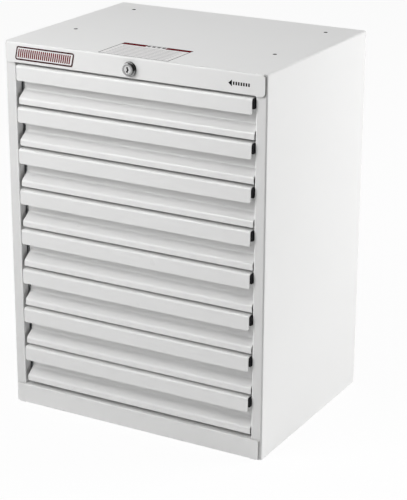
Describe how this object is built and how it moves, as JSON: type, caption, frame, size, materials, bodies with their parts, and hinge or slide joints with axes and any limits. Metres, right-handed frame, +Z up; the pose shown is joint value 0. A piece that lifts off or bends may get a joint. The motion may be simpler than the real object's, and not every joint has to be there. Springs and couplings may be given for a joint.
{
  "type": "drawer cabinet",
  "caption": "White steel parts cabinet with shallow full-width drawers on ball runners, formed pull lips with slide latches, and a cam lock in the header that bars every drawer.",
  "frame": {"origin": "centre of the underside, on the surface the cabinet stands on", "axes": "+Z up, the drawers open towards -Y, +X to the right of someone facing the drawers"},
  "size_m": [0.4572, 0.3542, 0.6096],
  "materials": {
    "case_paint": "glossy white powder coat",
    "front_paint": "glossy white powder coat",
    "tray_paint": "satin white powder coat",
    "zinc": "zinc plated",
    "runner_zinc": "bright zinc plated",
    "chrome": "polished chrome",
    "latch_plastic": "moulded black",
    "guide_plastic": "natural nylon"
  },
  "bodies": {
    "case": {"shell": "case_paint", "back_panel": "case_paint", "bottom_panel": "case_paint", "left_uprights": "zinc", "right_uprights": "zinc", "left_cabinet_runners": "runner_zinc", "right_cabinet_runners": "runner_zinc", "lock_barrel": "chrome", "lock_nut": "zinc", "lock_guides": "guide_plastic"},
    "lock_plug": {"lock_plug": "chrome", "lock_cam": "zinc"},
    "lock_link": {"lock_link": "zinc"},
    "lock_bar": {"lock_bar": "zinc", "lock_hooks": "zinc"},
    "drawer_1": {"drawer_1_front": "front_paint", "drawer_1_tray": "tray_paint", "drawer_1_runners": "runner_zinc"},
    "middle_runners_1": {"drawer_1_middle_runners": "runner_zinc"},
    "latch_1": {"drawer_1_latch": "latch_plastic"},
    "drawer_2": {"drawer_2_front": "front_paint", "drawer_2_tray": "tray_paint", "drawer_2_runners": "runner_zinc"},
    "middle_runners_2": {"drawer_2_middle_runners": "runner_zinc"},
    "latch_2": {"drawer_2_latch": "latch_plastic"},
    "drawer_3": {"drawer_3_front": "front_paint", "drawer_3_tray": "tray_paint", "drawer_3_runners": "runner_zinc"},
    "middle_runners_3": {"drawer_3_middle_runners": "runner_zinc"},
    "latch_3": {"drawer_3_latch": "latch_plastic"},
    "drawer_4": {"drawer_4_front": "front_paint", "drawer_4_tray": "tray_paint", "drawer_4_runners": "runner_zinc"},
    "middle_runners_4": {"drawer_4_middle_runners": "runner_zinc"},
    "latch_4": {"drawer_4_latch": "latch_plastic"},
    "drawer_5": {"drawer_5_front": "front_paint", "drawer_5_tray": "tray_paint", "drawer_5_runners": "runner_zinc"},
    "middle_runners_5": {"drawer_5_middle_runners": "runner_zinc"},
    "latch_5": {"drawer_5_latch": "latch_plastic"},
    "drawer_6": {"drawer_6_front": "front_paint", "drawer_6_tray": "tray_paint", "drawer_6_runners": "runner_zinc"},
    "middle_runners_6": {"drawer_6_middle_runners": "runner_zinc"},
    "latch_6": {"drawer_6_latch": "latch_plastic"},
    "drawer_7": {"drawer_7_front": "front_paint", "drawer_7_tray": "tray_paint", "drawer_7_runners": "runner_zinc"},
    "middle_runners_7": {"drawer_7_middle_runners": "runner_zinc"},
    "latch_7": {"drawer_7_latch": "latch_plastic"},
    "drawer_8": {"drawer_8_front": "front_paint", "drawer_8_tray": "tray_paint", "drawer_8_runners": "runner_zinc"},
    "middle_runners_8": {"drawer_8_middle_runners": "runner_zinc"},
    "latch_8": {"drawer_8_latch": "latch_plastic"}
  },
  "joints": [
    {"name": "lock_bar_slide", "type": "slide", "parent": "case", "child": "lock_bar", "axis": [0, 0, -1], "range_m": [0, 0.0075]},
    {"name": "lock_link_slide", "type": "slide", "parent": "case", "child": "lock_link", "axis": [1, 0, 0], "range_m": [0, 0.0145]},
    {"name": "lock_turn", "type": "hinge", "parent": "case", "child": "lock_plug", "pos_m": [0, -0.1731, 0.5916], "axis": [0, 1, 0], "range_deg": [0, 92]},
    {"name": "drawer_1_slide", "type": "slide", "parent": "case", "child": "drawer_1", "axis": [0, -1, 0], "range_m": [0, 0.3]},
    {"name": "middle_runners_1_slide", "type": "slide", "parent": "case", "child": "middle_runners_1", "axis": [0, -1, 0], "range_m": [0, 0.15]},
    {"name": "latch_1_slide", "type": "slide", "parent": "drawer_1", "child": "latch_1", "axis": [-1, 0, 0], "range_m": [0, 0.008], "stiffness_N_per_m": 250, "springref_m": -0.004},
    {"name": "drawer_2_slide", "type": "slide", "parent": "case", "child": "drawer_2", "axis": [0, -1, 0], "range_m": [0, 0.3]},
    {"name": "middle_runners_2_slide", "type": "slide", "parent": "case", "child": "middle_runners_2", "axis": [0, -1, 0], "range_m": [0, 0.15]},
    {"name": "latch_2_slide", "type": "slide", "parent": "drawer_2", "child": "latch_2", "axis": [-1, 0, 0], "range_m": [0, 0.008], "stiffness_N_per_m": 250, "springref_m": -0.004},
    {"name": "drawer_3_slide", "type": "slide", "parent": "case", "child": "drawer_3", "axis": [0, -1, 0], "range_m": [0, 0.3]},
    {"name": "middle_runners_3_slide", "type": "slide", "parent": "case", "child": "middle_runners_3", "axis": [0, -1, 0], "range_m": [0, 0.15]},
    {"name": "latch_3_slide", "type": "slide", "parent": "drawer_3", "child": "latch_3", "axis": [-1, 0, 0], "range_m": [0, 0.008], "stiffness_N_per_m": 250, "springref_m": -0.004},
    {"name": "drawer_4_slide", "type": "slide", "parent": "case", "child": "drawer_4", "axis": [0, -1, 0], "range_m": [0, 0.3]},
    {"name": "middle_runners_4_slide", "type": "slide", "parent": "case", "child": "middle_runners_4", "axis": [0, -1, 0], "range_m": [0, 0.15]},
    {"name": "latch_4_slide", "type": "slide", "parent": "drawer_4", "child": "latch_4", "axis": [-1, 0, 0], "range_m": [0, 0.008], "stiffness_N_per_m": 250, "springref_m": -0.004},
    {"name": "drawer_5_slide", "type": "slide", "parent": "case", "child": "drawer_5", "axis": [0, -1, 0], "range_m": [0, 0.3]},
    {"name": "middle_runners_5_slide", "type": "slide", "parent": "case", "child": "middle_runners_5", "axis": [0, -1, 0], "range_m": [0, 0.15]},
    {"name": "latch_5_slide", "type": "slide", "parent": "drawer_5", "child": "latch_5", "axis": [-1, 0, 0], "range_m": [0, 0.008], "stiffness_N_per_m": 250, "springref_m": -0.004},
    {"name": "drawer_6_slide", "type": "slide", "parent": "case", "child": "drawer_6", "axis": [0, -1, 0], "range_m": [0, 0.3]},
    {"name": "middle_runners_6_slide", "type": "slide", "parent": "case", "child": "middle_runners_6", "axis": [0, -1, 0], "range_m": [0, 0.15]},
    {"name": "latch_6_slide", "type": "slide", "parent": "drawer_6", "child": "latch_6", "axis": [-1, 0, 0], "range_m": [0, 0.008], "stiffness_N_per_m": 250, "springref_m": -0.004},
    {"name": "drawer_7_slide", "type": "slide", "parent": "case", "child": "drawer_7", "axis": [0, -1, 0], "range_m": [0, 0.3]},
    {"name": "middle_runners_7_slide", "type": "slide", "parent": "case", "child": "middle_runners_7", "axis": [0, -1, 0], "range_m": [0, 0.15]},
    {"name": "latch_7_slide", "type": "slide", "parent": "drawer_7", "child": "latch_7", "axis": [-1, 0, 0], "range_m": [0, 0.008], "stiffness_N_per_m": 250, "springref_m": -0.004},
    {"name": "drawer_8_slide", "type": "slide", "parent": "case", "child": "drawer_8", "axis": [0, -1, 0], "range_m": [0, 0.3]},
    {"name": "middle_runners_8_slide", "type": "slide", "parent": "case", "child": "middle_runners_8", "axis": [0, -1, 0], "range_m": [0, 0.15]},
    {"name": "latch_8_slide", "type": "slide", "parent": "drawer_8", "child": "latch_8", "axis": [-1, 0, 0], "range_m": [0, 0.008], "stiffness_N_per_m": 250, "springref_m": -0.004}
  ],
  "couplings": [
    {"joint": "lock_link_slide", "follows": "lock_bar_slide", "ratio": 1.8856},
    {"joint": "lock_turn", "follows": "lock_bar_slide", "rad_per_m": 209.44},
    {"joint": "middle_runners_1_slide", "follows": "drawer_1_slide", "ratio": 0.5},
    {"joint": "middle_runners_2_slide", "follows": "drawer_2_slide", "ratio": 0.5},
    {"joint": "middle_runners_3_slide", "follows": "drawer_3_slide", "ratio": 0.5},
    {"joint": "middle_runners_4_slide", "follows": "drawer_4_slide", "ratio": 0.5},
    {"joint": "middle_runners_5_slide", "follows": "drawer_5_slide", "ratio": 0.5},
    {"joint": "middle_runners_6_slide", "follows": "drawer_6_slide", "ratio": 0.5},
    {"joint": "middle_runners_7_slide", "follows": "drawer_7_slide", "ratio": 0.5},
    {"joint": "middle_runners_8_slide", "follows": "drawer_8_slide", "ratio": 0.5}
  ]
}
